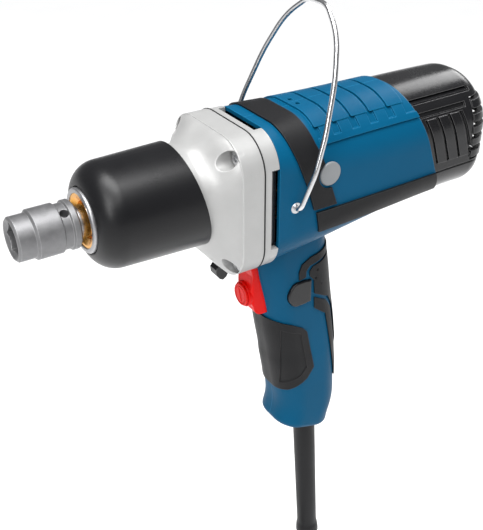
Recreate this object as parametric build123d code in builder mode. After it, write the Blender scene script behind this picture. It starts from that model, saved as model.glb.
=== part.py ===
from build123d import *
from math import acos, cos, pi, radians, sin, tan
import os

os.makedirs("parts", exist_ok=True)

# Corded impact wrench. Millimetres. +X runs back from the nose, +Y is the user's right
# and +Z is up. Every piece is drawn from the shoulder where the square drive leaves the
# anvil shaft, on the drive axis, and is written with the middle of the grip as its origin,
# because a hand holds the tool there.

# ---------------------------------------------------------------- driving dimensions
GRIP_X = 155.0              # middle of the grip, from the drive shoulder
GRIP_Z = -140.0
WALL = 2.6                  # plastic shell
GAP = 0.3                   # between pieces that move past each other
RUNNING = 0.05              # radial clearance of a shaft in its bore

# drive line
SQUARE = 12.6               # half inch drive, across the flats
SQUARE_LENGTH = 15.5
SHAFT_R = 9.6
SOCKET_LENGTH = 36.5
SOCKET_NOSE_R = 12.9
SOCKET_DRIVE_R = 14.4
SOCKET_GROOVE_R = 13.2
SOCKET_HEX = 17.0
DRIVE_TURN = 32.0           # degrees, turn of the square at rest
PIN_X = -7.4

# hammer case
BUSH_R = 12.5
FLARE_R = 16.1
NOSE_RING_R = 19.2
CASE_NOSE_R = 17.0
BARREL_R = 30.0
BARREL_BORE_R = 26.5
RING_SEAT_R = 29.5
BARREL_END_X = 70.0
FLANGE_X = 87.0
FLANGE_END_X = 101.5
FLANGE_W = 80.0
FLANGE_H = 90.0
FLANGE_R = 22.0
FLANGE_Z = -6.0
COVER_END_X = 106.5
COVER_TAB_X = 111.8
SCREW_Y = 29.5
SCREW_DZ = 34.5
SCREW_HEAD_R = 4.2

# rubber nose boot
BOOT_FRONT_R = 31.8
BOOT_REAR_R = 33.2
BOOT_TOP_X = 62.0
BOOT_BOTTOM_X = 75.0

# planetary stage
MODULE = 1.0
SUN_TEETH = 9
PLANET_TEETH = 21
RING_TEETH = 51
PLANET_COUNT = 3
GEAR_X = 87.5
GEAR_LENGTH = 6.0
CARRIER_R = 21.0
PIN_R = 2.5
CAM_R = 8.0

# hammer
HAMMER_X = 47.5
HAMMER_LENGTH = 24.5
HAMMER_R = 24.5
BALL_R = 2.5
BALL_X = 60.0

# motor
ARMATURE_R = 20.8
ARMATURE_X = 133.0
ARMATURE_LENGTH = 52.0
STATOR_R = 33.0
FAN_X = 114.0
FAN_R = 31.0
COMMUTATOR_X = 200.0
COMMUTATOR_R = 11.5
REAR_BEARING_X = 236.0
FRONT_BEARING_X = 102.0

# motor housing: station, height of the centre, width, height, upper corner
MOTOR_SECTIONS = [
    (112.5, -5.5, 78, 88, 22),
    (148, -3.2, 77.5, 85, 30),
    (186, -0.4, 76.5, 81, 34),
    (287, 1.5, 71, 77, 34),
]
LOWER_CORNER = 22.0
CAP_TOP_X = 217.5
CAP_BOTTOM_X = 247.5
CAP_END_X = 286.0
CAP_ROUND = 16.0
BAND_LOW_Z = 25.5           # raised band along each side of the motor housing
BAND_HIGH_Z = 28.8
RIB_LOW_Z = 34.5            # the ribs end here and the tabs below them begin
RIB_START_X = 144.0
RIB_PITCH = 14.5
RIB_GROOVE = 2.2
RIB_HEIGHT = 1.6
TAB_HEIGHT = 1.2

# rear cap: side pads and the fins round the back
PAD_TOP_Z = 22.0
PAD_BOTTOM_Z = -9.0
PAD_TOP_X = 228.8
PAD_BOTTOM_X = 239.2
PAD_PITCH = 10.0
PAD_WIDTH = 7.6
FIN_X = 269.0
FIN_PITCH = 8.4
FIN_THICKNESS = 4.6

# handle: height, centre along X, half depth, half width
HANDLE_SECTIONS = [
    (-38, 141.8, 27.2, 21),
    (-51, 142.4, 27.6, 20.5),
    (-64, 143.7, 27.9, 20),
    (-78, 146.3, 27.7, 19.7),
    (-92, 148.9, 27.1, 19.5),
    (-108, 151.6, 27, 19.5),
    (-124, 154.1, 26.9, 19.5),
    (-140, 156.3, 26.3, 19.7),
    (-156, 158, 25.4, 20),
    (-167, 159.1, 24.7, 20.2),
    (-178, 160, 24, 20.5),
    (-188, 160.2, 23.8, 20.7),
    (-198, 158.2, 23.8, 21),
    (-208, 156.2, 23.4, 20.7),
    (-224, 153.8, 22.2, 20),
]
HANDLE_CORNER = 16.5
HEEL_X = 189.0
HEEL_REAR_Z = -220.0
HEEL_SLOPE = 18.0           # degrees, underside rising to the toe

# controls
TRIGGER_HALF_W = 9.0
TRIGGER_TOP_Z = -62.6
TRIGGER_BOTTOM_Z = -100.4
TRIGGER_FRONT_X = 113.0
TRIGGER_BACK_X = 128.5
DIAL_R = 7.8
DIAL_Z = -86.0
DIAL_X = 109.4
LEVER_PIVOT_X = 140.0
LEVER_Z = -58.7
LEVER_TIP_X = 93.5
LOCK_X = 144.0
LOCK_Z = -86.0

# hanging bail
BAIL_WIRE_R = 1.6
BAIL_X = 124.6
BAIL_Z = -8.7
BAIL_LEAN = 20.0
BAIL_HEIGHT = 115.0

# mains lead
CORD_D = 7.6
RELIEF_TOP = Vector(164.1, 0, -190)
RELIEF_LEAN = 3.8
RELIEF_LENGTH = 154.0
COIL_MEAN_R = 46.0
COIL_BUNDLE_R = 17.0
COIL_Z = -446.0


# ---------------------------------------------------------------- shared helpers
def station(x, z=0.0):
    """A plane across the drive axis: sketch X is world Y and sketch Y is world Z."""
    return Plane(origin=(x, 0, z), x_dir=(0, 1, 0), z_dir=(1, 0, 0))


def level(z, x=0.0):
    """A horizontal plane."""
    return Plane(origin=(x, 0, z), x_dir=(1, 0, 0), z_dir=(0, 0, 1))


def side(y):
    """A vertical plane along the tool: sketch X is world X and sketch Y is world Z."""
    return Plane(origin=(0, y, 0), x_dir=(1, 0, 0), z_dir=(0, -1, 0))


def half_section(points):
    """The area between the listed (station, radius) points, ready to turn about X."""
    with BuildSketch(Plane.XZ) as section:
        with BuildLine():
            Polyline(*points, close=True)
        make_face()
    return section.sketch


def involute_point(base_r, radius, start):
    """A point of an involute flank, as a radius and an angle in radians."""
    if radius <= base_r:
        return radius, start
    pressure = acos(base_r / radius)
    return radius, start + tan(pressure) - pressure


def gear_outline(teeth, tip_r, root_r, backlash, turn=0.0):
    """Tooth outline with 20 degree involute flanks, thinned by the backlash."""
    pitch_r = MODULE * teeth / 2
    base_r = pitch_r * cos(radians(20))
    at_pitch = involute_point(base_r, pitch_r, 0)[1]
    half_tooth = pi / (2 * teeth) - backlash / (2 * pitch_r)
    radii = [root_r + (tip_r - root_r) * step / 5 for step in range(6)]
    points = []
    for tooth in range(teeth):
        middle = radians(turn) + 2 * pi * tooth / teeth
        flank = [involute_point(base_r, r, 0) for r in radii]
        lower = [(r, middle - half_tooth - at_pitch + a) for r, a in flank]
        upper = [(r, middle + half_tooth + at_pitch - a) for r, a in reversed(flank)]
        points += [(r * cos(a), r * sin(a)) for r, a in lower + upper]
    with BuildSketch() as area:
        with BuildLine():
            Polyline(*points, close=True)
        make_face()
    return area.sketch


def ball_bearing(name, x, width, bore_r, outer_r):
    """Two races and a ring of balls."""
    mid_r = (bore_r + outer_r) / 2
    ball_r = (outer_r - bore_r) * 0.24
    with BuildPart() as bearing:
        races = ((bore_r + RUNNING, mid_r - ball_r * 0.6), (mid_r + ball_r * 0.6, outer_r))
        for inner, outer in races:
            with BuildSketch(station(x)):
                Circle(outer)
                Circle(inner, mode=Mode.SUBTRACT)
            extrude(amount=width)
        with Locations(station(x + width / 2)):
            with PolarLocations(mid_r, 8):
                Sphere(ball_r + 0.02, mode=Mode.SUBTRACT)
        with Locations(station(x + width / 2)):
            with PolarLocations(mid_r, 8):
                Sphere(ball_r - 0.05)
    bearing.part.label = name
    return bearing


def motor_body(grow):
    """The lofted motor housing, its surface moved out by grow."""
    with BuildPart() as body:
        for x, z, width, height, corner in MOTOR_SECTIONS:
            with BuildSketch(station(x, z)) as section:
                Rectangle(width + 2 * grow, height + 2 * grow)
                fillet(section.vertices().group_by(Axis.Y)[-1], corner + grow)
                fillet(section.vertices().group_by(Axis.Y)[0], LOWER_CORNER + grow)
        loft()
    return body.part


def handle_body(grow):
    """The lofted handle, its surface moved out by grow, with the sloping underside."""
    with BuildPart() as body:
        for z, x, half_depth, half_width in HANDLE_SECTIONS:
            with BuildSketch(level(z, x)):
                RectangleRounded(2 * (half_depth + grow), 2 * (half_width + grow), HANDLE_CORNER + grow)
        loft()
        heel = Plane(
            origin=(HEEL_X, 0, HEEL_REAR_Z - grow),
            x_dir=(cos(radians(HEEL_SLOPE)), 0, -sin(radians(HEEL_SLOPE))),
            z_dir=(sin(radians(HEEL_SLOPE)), 0, cos(radians(HEEL_SLOPE))),
        )
        split(bisect_by=heel, keep=Keep.TOP)
        if grow >= 0:
            fillet(body.faces().sort_by(Axis.Z)[0].edges(), 5.0)
    return body.part


def side_prism(points, y_from, y_to):
    """A prism across the tool between two values of Y."""
    with BuildPart() as prism:
        with BuildSketch(side(y_to)):
            with BuildLine():
                Polyline(*points, close=True)
            make_face()
        extrude(amount=y_to - y_from)
    return prism.part


def slab(x_range, y_range, z_range):
    """A box given by its limits."""
    with BuildPart() as block:
        with BuildSketch(Plane.XY.offset(z_range[0])):
            with Locations((sum(x_range) / 2, sum(y_range) / 2)):
                Rectangle(x_range[1] - x_range[0], y_range[1] - y_range[0])
        extrude(amount=z_range[1] - z_range[0])
    return block.part


pieces = []


def finish(name, builder):
    """Label a piece, set it out from the middle of the grip and write it."""
    placed = builder.part.moved(Location((-GRIP_X, 0, -GRIP_Z)))
    placed.label = name
    export_step(placed, f"parts/{name}.step")
    pieces.append((name, placed.volume))


# ---------------------------------------------------------------- socket
with BuildPart() as socket:
    revolve(
        half_section([
            (-SOCKET_LENGTH, 0), (-SOCKET_LENGTH, SOCKET_NOSE_R - 1.2),
            (-SOCKET_LENGTH + 1.2, SOCKET_NOSE_R), (-26.2, SOCKET_NOSE_R), (-24.8, SOCKET_DRIVE_R),
            (-10.6, SOCKET_DRIVE_R), (-9.8, SOCKET_GROOVE_R), (-5.2, SOCKET_GROOVE_R),
            (-4.4, SOCKET_DRIVE_R), (-1.4, SOCKET_DRIVE_R), (-GAP, SOCKET_DRIVE_R - 1.1), (-GAP, 0),
        ]),
        axis=Axis.X,
    )
    with BuildSketch(station(-SOCKET_LENGTH)):
        RegularPolygon(SOCKET_HEX / 2, 6, major_radius=False)
    extrude(amount=14.5, mode=Mode.SUBTRACT)
    revolve(
        half_section([
            (-SOCKET_LENGTH, 0), (-SOCKET_LENGTH, 11.0), (-SOCKET_LENGTH + 1.9, 8.6), (-22.2, 7.6),
            (-21.4, 0),
        ]),
        axis=Axis.X, mode=Mode.SUBTRACT,
    )
    with BuildSketch(station(-17.0)):
        Rectangle(SQUARE + 0.3, SQUARE + 0.3, rotation=DRIVE_TURN)
    extrude(amount=17.0, mode=Mode.SUBTRACT)
    with Locations(Rot(DRIVE_TURN, 0, 0) * Pos(PIN_X, 0, 0)):
        Cylinder(2.6, 40, mode=Mode.SUBTRACT)
finish("impact_socket", socket)

# ---------------------------------------------------------------- anvil with the square drive
with BuildPart() as anvil:
    with BuildSketch(station(-SQUARE_LENGTH)):
        Rectangle(SQUARE, SQUARE, rotation=DRIVE_TURN)
    extrude(amount=SQUARE_LENGTH)
    chamfer(anvil.faces().sort_by(Axis.X)[0].edges(), 1.2)
    revolve(
        half_section([
            (0, 0), (0, SHAFT_R - 0.8), (0.8, SHAFT_R), (34, SHAFT_R), (34, 13), (45, 13), (45, 0),
        ]),
        axis=Axis.X,
    )
    with BuildSketch(station(36)):
        Rectangle(46, 11)
        Circle(23, mode=Mode.INTERSECT)
    extrude(amount=9)
    with BuildSketch(station(37)):
        Circle(6 + RUNNING)
    extrude(amount=9, mode=Mode.SUBTRACT)
    with Locations(Rot(DRIVE_TURN, 0, 0) * Pos(PIN_X, 0, 0)):
        Cylinder(1.8, 20, mode=Mode.SUBTRACT)
finish("anvil", anvil)

# ---------------------------------------------------------------- sprung pin that holds the socket
with BuildPart() as socket_pin:
    with Locations(Rot(DRIVE_TURN, 0, 0) * Pos(PIN_X, 0, 3.6)):
        Cylinder(1.7, 7.6)
    fillet(socket_pin.faces().sort_by(Axis.Z)[-1].edges(), 1.2)
finish("socket_pin", socket_pin)

# ---------------------------------------------------------------- bronze bush with a flared front
with BuildPart() as bronze_bush:
    revolve(
        half_section([
            (10.4, SHAFT_R + RUNNING), (6.8, 11.2), (4.4, 14.4), (4.4, FLARE_R), (6.0, FLARE_R), (6.0, BUSH_R),
            (33.4, BUSH_R), (33.4, SHAFT_R + RUNNING),
        ]),
        axis=Axis.X,
    )
finish("bronze_bush", bronze_bush)

# ---------------------------------------------------------------- polished ring round the nose
with BuildPart() as nose_ring:
    with BuildSketch(Plane.XZ):
        with BuildLine():
            Polyline(
                (6.0, FLARE_R + 0.05), (4.1, FLARE_R + 0.05), (3.7, FLARE_R + 0.5), (3.7, NOSE_RING_R - 1.2),
            )
            ThreePointArc((3.7, NOSE_RING_R - 1.2), (4.1, NOSE_RING_R - 0.4), (5.0, NOSE_RING_R))
            Polyline(
                (5.0, NOSE_RING_R), (9.6, NOSE_RING_R), (9.6, CASE_NOSE_R), (6.0, CASE_NOSE_R),
                (6.0, FLARE_R + 0.05),
            )
        make_face()
    revolve(axis=Axis.X)
finish("nose_ring", nose_ring)

# ---------------------------------------------------------------- cast hammer case
def case_flare(grow):
    """The case widening from its round barrel to the flange, its surface moved out by grow."""
    with BuildPart() as flare:
        with BuildSketch(station(BARREL_END_X - 4)):
            Circle(BARREL_R + grow)
        with BuildSketch(station(BARREL_END_X)):
            Circle(BARREL_R + 0.3 + grow)
        with BuildSketch(station(FLANGE_X - 8, FLANGE_Z / 2)):
            RectangleRounded(FLANGE_W - 11 + 2 * grow, FLANGE_H - 15 + 2 * grow, FLANGE_R + 6 + grow)
        with BuildSketch(station(FLANGE_X, FLANGE_Z)):
            RectangleRounded(FLANGE_W - 1 + 2 * grow, FLANGE_H - 1 + 2 * grow, FLANGE_R + grow)
        loft()
    return flare.part


screw_spots = [(y, FLANGE_Z + dz) for y in (-SCREW_Y, SCREW_Y) for dz in (-SCREW_DZ, SCREW_DZ)]

with BuildPart() as hammer_case:
    with BuildSketch(Plane.XZ):
        with BuildLine():
            Polyline((6.0, 0), (6.0, CASE_NOSE_R), (13, CASE_NOSE_R))
            ThreePointArc((13, CASE_NOSE_R), (21, 26.6), (32, BARREL_R))
            Polyline((32, BARREL_R), (BARREL_END_X, BARREL_R), (BARREL_END_X, 0), (6.0, 0))
        make_face()
    revolve(axis=Axis.X)
    add(case_flare(0))
    with BuildSketch(station(FLANGE_X, FLANGE_Z)):
        RectangleRounded(FLANGE_W, FLANGE_H, FLANGE_R)
    extrude(amount=FLANGE_END_X - FLANGE_X)
    revolve(
        half_section([
            (0, 0), (0, BUSH_R), (34, BUSH_R), (34, 25), (36, BARREL_BORE_R), (83, BARREL_BORE_R),
            (83, RING_SEAT_R), (FLANGE_END_X + 1, RING_SEAT_R), (FLANGE_END_X + 1, 0),
        ]),
        axis=Axis.X, mode=Mode.SUBTRACT,
    )
    with BuildSketch(station(60)):
        with Locations(*screw_spots):
            Circle(SCREW_HEAD_R + 1.2)
    extrude(amount=31, mode=Mode.SUBTRACT)
    with BuildSketch(station(80)):
        with Locations(*screw_spots):
            Circle(2.6)
    extrude(amount=30, mode=Mode.SUBTRACT)
finish("hammer_case", hammer_case)

# ---------------------------------------------------------------- rubber nose boot
with BuildPart() as nose_boot:
    with BuildSketch(Plane.XZ):
        with BuildLine():
            Polyline((9.7, 18.6), (9.7, 19.6), (6.0, 19.6), (5.5, 20.4))
            ThreePointArc((5.5, 20.4), (10.9, 28.4), (20.4, BOOT_FRONT_R))
            Polyline(
                (20.4, BOOT_FRONT_R), (BOOT_BOTTOM_X + 2, BOOT_REAR_R),
                (BOOT_BOTTOM_X + 2, BARREL_R + 0.3), (32, BARREL_R + 0.3),
            )
            ThreePointArc((32, BARREL_R + 0.3), (20.2, 27.5), (12.6, 18.6))
            Line((12.6, 18.6), (9.7, 18.6))
        make_face()
    revolve(axis=Axis.X)
    rear_edge = Plane(
        origin=((BOOT_TOP_X + BOOT_BOTTOM_X) / 2, 0, 0),
        z_dir=(2 * BOOT_REAR_R, 0, BOOT_BOTTOM_X - BOOT_TOP_X),
    )
    split(bisect_by=rear_edge, keep=Keep.BOTTOM)
    add(case_flare(GAP), mode=Mode.SUBTRACT)
finish("nose_boot", nose_boot)

# ---------------------------------------------------------------- gear cover behind the case
with BuildPart() as gear_cover:
    with BuildSketch(station(FLANGE_END_X, FLANGE_Z)):
        RectangleRounded(FLANGE_W - 0.6, FLANGE_H - 0.6, FLANGE_R)
    extrude(amount=COVER_END_X - FLANGE_END_X)
    with BuildSketch(station(FLANGE_END_X, FLANGE_Z)):
        RectangleRounded(FLANGE_W - 0.6, FLANGE_H - 0.6, FLANGE_R)
        Rectangle(FLANGE_W + 2, 52, mode=Mode.SUBTRACT)
        Rectangle(40, FLANGE_H + 2, mode=Mode.SUBTRACT)
    extrude(amount=COVER_TAB_X - FLANGE_END_X)
    with BuildSketch(station(COVER_END_X - 0.1)):
        Circle(17)
    extrude(amount=5.0)
    with BuildSketch(station(FLANGE_END_X - 2.2)):
        Circle(RING_SEAT_R - 0.1)
        Circle(24.9, mode=Mode.SUBTRACT)
    extrude(amount=3)
    with BuildSketch(station(FRONT_BEARING_X)):
        Circle(14)
    extrude(amount=12, mode=Mode.SUBTRACT)
    with BuildSketch(station(90)):
        Circle(9)
    extrude(amount=20, mode=Mode.SUBTRACT)
    with BuildSketch(station(90)):
        with Locations(*screw_spots):
            Circle(2.6)
    extrude(amount=30, mode=Mode.SUBTRACT)
finish("gear_cover", gear_cover)

# ---------------------------------------------------------------- four case screws
with BuildPart() as case_screws:
    for y, z in screw_spots:
        with BuildSketch(station(88.2)):
            with Locations((y, z)):
                Circle(SCREW_HEAD_R)
        extrude(amount=2.8)
        with BuildSketch(station(90.9)):
            with Locations((y, z)):
                Circle(2.4)
        extrude(amount=29)
        with BuildSketch(station(88.2)):
            with Locations((y, z)):
                RegularPolygon(2.3, 6, rotation=15)
        extrude(amount=1.8, mode=Mode.SUBTRACT)
finish("case_screws", case_screws)

# ---------------------------------------------------------------- planetary stage
SUN_R = MODULE * SUN_TEETH / 2
PLANET_R = MODULE * PLANET_TEETH / 2
RING_R = MODULE * RING_TEETH / 2
CENTRES = SUN_R + PLANET_R
BACKLASH = 0.26

with BuildPart() as ring_gear:
    with BuildSketch(station(GEAR_X - 0.5)):
        Circle(RING_SEAT_R)
        add(gear_outline(RING_TEETH, RING_R + 1.15, RING_R - 0.75, -BACKLASH), mode=Mode.SUBTRACT)
    extrude(amount=GEAR_LENGTH + 1)
finish("ring_gear", ring_gear)

# A planet at angle a meshes when a tooth gap faces the sun tooth at a and a tooth faces the ring gap.
planet_nodes = []
for index in range(PLANET_COUNT):
    angle = 360 / PLANET_COUNT * index + 90
    facing_sun = angle * SUN_TEETH / PLANET_TEETH
    turn = angle + 180 + facing_sun + 180 / PLANET_TEETH
    with BuildPart() as planet:
        y = CENTRES * cos(radians(angle))
        z = CENTRES * sin(radians(angle))
        with BuildSketch(Plane(origin=(GEAR_X, y, z), x_dir=(0, 1, 0), z_dir=(1, 0, 0))):
            add(gear_outline(PLANET_TEETH, PLANET_R + 0.8, PLANET_R - 1.2, BACKLASH, turn))
            Circle(PIN_R + RUNNING, mode=Mode.SUBTRACT)
        extrude(amount=GEAR_LENGTH)
    finish(f"planet_gear_{index + 1}", planet)

with BuildPart() as camshaft:
    revolve(
        half_section([
            (38, 0), (38, 5.4), (38.6, 6), (46, 6), (46, CAM_R), (84, CAM_R), (84, CARRIER_R),
            (87, CARRIER_R), (87, 6), (86, 6), (86, 0),
        ]),
        axis=Axis.X,
    )
    with BuildSketch(station(94)):
        Circle(CARRIER_R)
        Circle(6.4, mode=Mode.SUBTRACT)
    extrude(amount=3)
    with BuildSketch(station(86.9)):
        with PolarLocations(CENTRES, PLANET_COUNT, start_angle=30):
            Circle(2.3)
    extrude(amount=7.2)
    for spot in (-1, 1):
        with Locations((BALL_X, 0, spot * 8.4)):
            Sphere(BALL_R + 0.08, mode=Mode.SUBTRACT)
    with BuildSketch(station(83)):
        with PolarLocations(CENTRES, PLANET_COUNT, start_angle=90):
            Circle(PIN_R)
    extrude(amount=15, mode=Mode.SUBTRACT)
finish("camshaft_carrier", camshaft)

with BuildPart() as planet_pins:
    with BuildSketch(station(84)):
        with PolarLocations(CENTRES, PLANET_COUNT, start_angle=90):
            Circle(PIN_R)
    extrude(amount=13)
finish("planet_pins", planet_pins)

with BuildPart() as cam_balls:
    for spot in (-1, 1):
        with Locations((BALL_X, 0, spot * 8.4)):
            Sphere(BALL_R)
finish("cam_balls", cam_balls)

# ---------------------------------------------------------------- hammer, spring and washer
with BuildPart() as hammer:
    revolve(
        half_section([
            (HAMMER_X, CAM_R + 0.08), (HAMMER_X, HAMMER_R - 1), (HAMMER_X + 1, HAMMER_R),
            (HAMMER_X + HAMMER_LENGTH, HAMMER_R), (HAMMER_X + HAMMER_LENGTH, 20.2), (HAMMER_X + 9, 20.2),
            (HAMMER_X + 9, 12), (HAMMER_X + 20, 12), (HAMMER_X + 20, CAM_R + 0.08),
        ]),
        axis=Axis.X,
    )
    with BuildSketch(station(HAMMER_X - 9)):
        with PolarLocations(18.8, 2, start_angle=50):
            Rectangle(10.5, 12)
        Circle(HAMMER_R - 0.5, mode=Mode.INTERSECT)
    extrude(amount=10)
    with BuildSketch(station(49)):
        with Locations((0, 8.4), (0, -8.4)):
            Circle(BALL_R + 0.15)
    extrude(amount=15, mode=Mode.SUBTRACT)
finish("hammer", hammer)

SPRING_X = HAMMER_X + 9.2
SPRING_END_X = 82.4
SPRING_WIRE_R = 1.7
with BuildPart() as hammer_spring:
    with BuildLine() as coil_line:
        Helix(
            pitch=5.6, height=SPRING_END_X - SPRING_X - 2 * SPRING_WIRE_R, radius=16.1,
            center=(SPRING_X + SPRING_WIRE_R, 0, 0), direction=(1, 0, 0),
        )
    with BuildSketch(Plane(origin=coil_line.line @ 0, z_dir=coil_line.line % 0)):
        Circle(SPRING_WIRE_R)
    sweep()
finish("hammer_spring", hammer_spring)

with BuildPart() as spring_washer:
    with BuildSketch(station(SPRING_END_X)):
        Circle(19.5)
        Circle(CAM_R + 0.02, mode=Mode.SUBTRACT)
    extrude(amount=84 - SPRING_END_X)
finish("spring_washer", spring_washer)


# ---------------------------------------------------------------- armature
with BuildPart() as armature_shaft:
    with BuildSketch(station(86.6)):
        add(gear_outline(SUN_TEETH, SUN_R + 0.75, SUN_R - 1.25, BACKLASH))
    extrude(amount=11.2)
    revolve(
        half_section([
            (97.6, 0), (97.6, 5), (FRONT_BEARING_X, 5), (FRONT_BEARING_X, 6), (111, 6), (111, 5),
            (REAR_BEARING_X, 5), (REAR_BEARING_X, 4), (244.4, 4), (245, 3.4), (245, 0),
        ]),
        axis=Axis.X,
    )
finish("armature_shaft", armature_shaft)

with BuildPart() as armature_core:
    with BuildSketch(station(ARMATURE_X)):
        Circle(ARMATURE_R)
        Circle(5, mode=Mode.SUBTRACT)
        with PolarLocations(17.6, 12):
            Rectangle(7.4, 3.2, mode=Mode.SUBTRACT)
    extrude(amount=ARMATURE_LENGTH)
finish("armature_core", armature_core)

with BuildPart() as armature_windings:
    for x_from, x_to in (
        (ARMATURE_X - 7.5, ARMATURE_X),
        (ARMATURE_X + ARMATURE_LENGTH, ARMATURE_X + ARMATURE_LENGTH + 9),
    ):
        revolve(
            half_section([
                (x_from, 5), (x_from, 15), (x_from + 2.2, 18.2), (x_to - 2.2, 18.8), (x_to, 18.2), (x_to, 5),
            ]),
            axis=Axis.X,
        )
    with BuildSketch(station(ARMATURE_X)):
        with PolarLocations(16.5, 12):
            Rectangle(4.6, 3.0)
    extrude(amount=ARMATURE_LENGTH)
finish("armature_windings", armature_windings)

with BuildPart() as commutator:
    with BuildSketch(station(COMMUTATOR_X)):
        Circle(COMMUTATOR_R)
        Circle(5, mode=Mode.SUBTRACT)
        with PolarLocations(COMMUTATOR_R, 24):
            Rectangle(2.0, 0.5, mode=Mode.SUBTRACT)
    extrude(amount=15)
    with BuildSketch(station(COMMUTATOR_X - 3)):
        Circle(13)
        Circle(5, mode=Mode.SUBTRACT)
    extrude(amount=3)
finish("commutator", commutator)

with BuildPart() as cooling_fan:
    revolve(
        half_section([
            (FAN_X, 5), (FAN_X, FAN_R), (FAN_X + 1.6, FAN_R), (FAN_X + 1.6, 12),
            (FAN_X + 10, 8), (FAN_X + 10, 5),
        ]),
        axis=Axis.X,
    )
    with BuildSketch(station(FAN_X + 1.5)):
        with PolarLocations(21.5, 13):
            Rectangle(17.5, 1.5, rotation=18)
    extrude(amount=7)
finish("cooling_fan", cooling_fan)

finish("front_bearing", ball_bearing("front_bearing", FRONT_BEARING_X, 8, 6, 14))
finish("rear_bearing", ball_bearing("rear_bearing", REAR_BEARING_X, 7, 4, 11))

# ---------------------------------------------------------------- stator and brushes
with BuildPart() as stator_core:
    with BuildSketch(station(ARMATURE_X - 1)):
        Circle(STATOR_R)
        Circle(ARMATURE_R + 0.6, mode=Mode.SUBTRACT)
        with GridLocations(36, 45, 2, 2):
            Rectangle(9, 6, mode=Mode.SUBTRACT)
    extrude(amount=ARMATURE_LENGTH + 2)
finish("stator_core", stator_core)

with BuildPart() as field_coils:
    for z in (-22.5, 22.5):
        with BuildSketch(Plane.XY.offset(z - 2.5)):
            with Locations((ARMATURE_X + ARMATURE_LENGTH / 2, 0)):
                RectangleRounded(70, 43, 7)
                RectangleRounded(ARMATURE_LENGTH + 3, 28.5, 2, mode=Mode.SUBTRACT)
        extrude(amount=5)
finish("field_coils", field_coils)

with BuildPart() as brush_holders:
    for hand in (-1, 1):
        with BuildSketch(Plane.XZ.offset(-hand * 12.6)):
            with Locations((COMMUTATOR_X + 8, 0)):
                Rectangle(13, 11)
                Rectangle(10.2, 7.2, mode=Mode.SUBTRACT)
        extrude(amount=-hand * 19)
finish("brush_holders", brush_holders)

with BuildPart() as carbon_brushes:
    for hand in (-1, 1):
        with BuildSketch(Plane.XZ.offset(-hand * (COMMUTATOR_R + 0.12))):
            with Locations((COMMUTATOR_X + 8, 0)):
                Rectangle(10, 7)
        extrude(amount=-hand * 13)
finish("carbon_brushes", carbon_brushes)

with BuildPart() as bearing_bracket:
    with BuildSketch(station(224, 0)):
        RectangleRounded(64, 66, 26)
        Circle(13.4, mode=Mode.SUBTRACT)
        with PolarLocations(23.5, 6, start_angle=30):
            Circle(6.5, mode=Mode.SUBTRACT)
    extrude(amount=3)
    with BuildSketch(station(224)):
        Circle(16)
        Circle(13.4, mode=Mode.SUBTRACT)
    extrude(amount=20)
    with BuildSketch(station(REAR_BEARING_X)):
        Circle(14)
        Circle(11, mode=Mode.SUBTRACT)
    extrude(amount=8)
finish("bearing_bracket", bearing_bracket)

# ---------------------------------------------------------------- air guide behind the gear cover
with BuildPart() as air_guide:
    with BuildSketch(station(COVER_END_X, FLANGE_Z)):
        RectangleRounded(FLANGE_W - 9, FLANGE_H - 9, FLANGE_R - 4)
        with GridLocations(79.2, 91.2, 2, 2):
            Rectangle(40, 40, mode=Mode.SUBTRACT)
        with Locations((0, -FLANGE_Z)):
            Circle(24, mode=Mode.SUBTRACT)
    extrude(amount=COVER_TAB_X - COVER_END_X)
finish("air_guide", air_guide)

# ---------------------------------------------------------------- housing surfaces
body_skin = motor_body(0)
body_inside = motor_body(-WALL)
handle_skin = handle_body(0)
handle_inside = handle_body(-WALL)
CAP_PLANE = Plane(origin=((CAP_TOP_X + CAP_BOTTOM_X) / 2, 0, 0), z_dir=(82, 0, CAP_BOTTOM_X - CAP_TOP_X))


def motor_layer(outer, inner, points):
    """A layer of the motor housing between two offsets, inside an outline seen from the side."""
    with BuildPart() as layer:
        add(motor_body(outer))
        add(motor_body(inner), mode=Mode.SUBTRACT)
        add(side_prism(points, -60, 60), mode=Mode.INTERSECT)
    return layer.part


def handle_layer(outer, inner, points):
    """A layer of the handle between two offsets, inside an outline seen from the side."""
    with BuildPart() as layer:
        add(handle_body(outer))
        add(handle_body(inner), mode=Mode.SUBTRACT)
        add(side_prism(points, -60, 60), mode=Mode.INTERSECT)
    return layer.part


def strip(x_from, x_to, z_from, z_to):
    """Corners of an upright rectangle seen from the side."""
    return [(x_from, z_from), (x_to, z_from), (x_to, z_to), (x_from, z_to)]


# ---------------------------------------------------------------- lock-on button
def lock_outline(grow):
    """D shape of the lock-on button."""
    with BuildSketch(side(0)) as area:
        with Locations((LOCK_X, LOCK_Z)):
            RectangleRounded(16 + 2 * grow, 18 + 2 * grow, 5 + grow)
        with Locations((LOCK_X - 1, LOCK_Z)):
            Circle(9 + grow)
        with Locations((LOCK_X + 4, LOCK_Z)):
            Rectangle(8 + 2 * grow, 17 + 2 * grow)
    return area.sketch


# ---------------------------------------------------------------- housing shells
relief_down = Vector(sin(radians(RELIEF_LEAN)), 0, -cos(radians(RELIEF_LEAN)))
SHELL_SCREWS = [(120, -47.5), (161.5, -52), (170, -120), (145, -184)]

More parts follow.
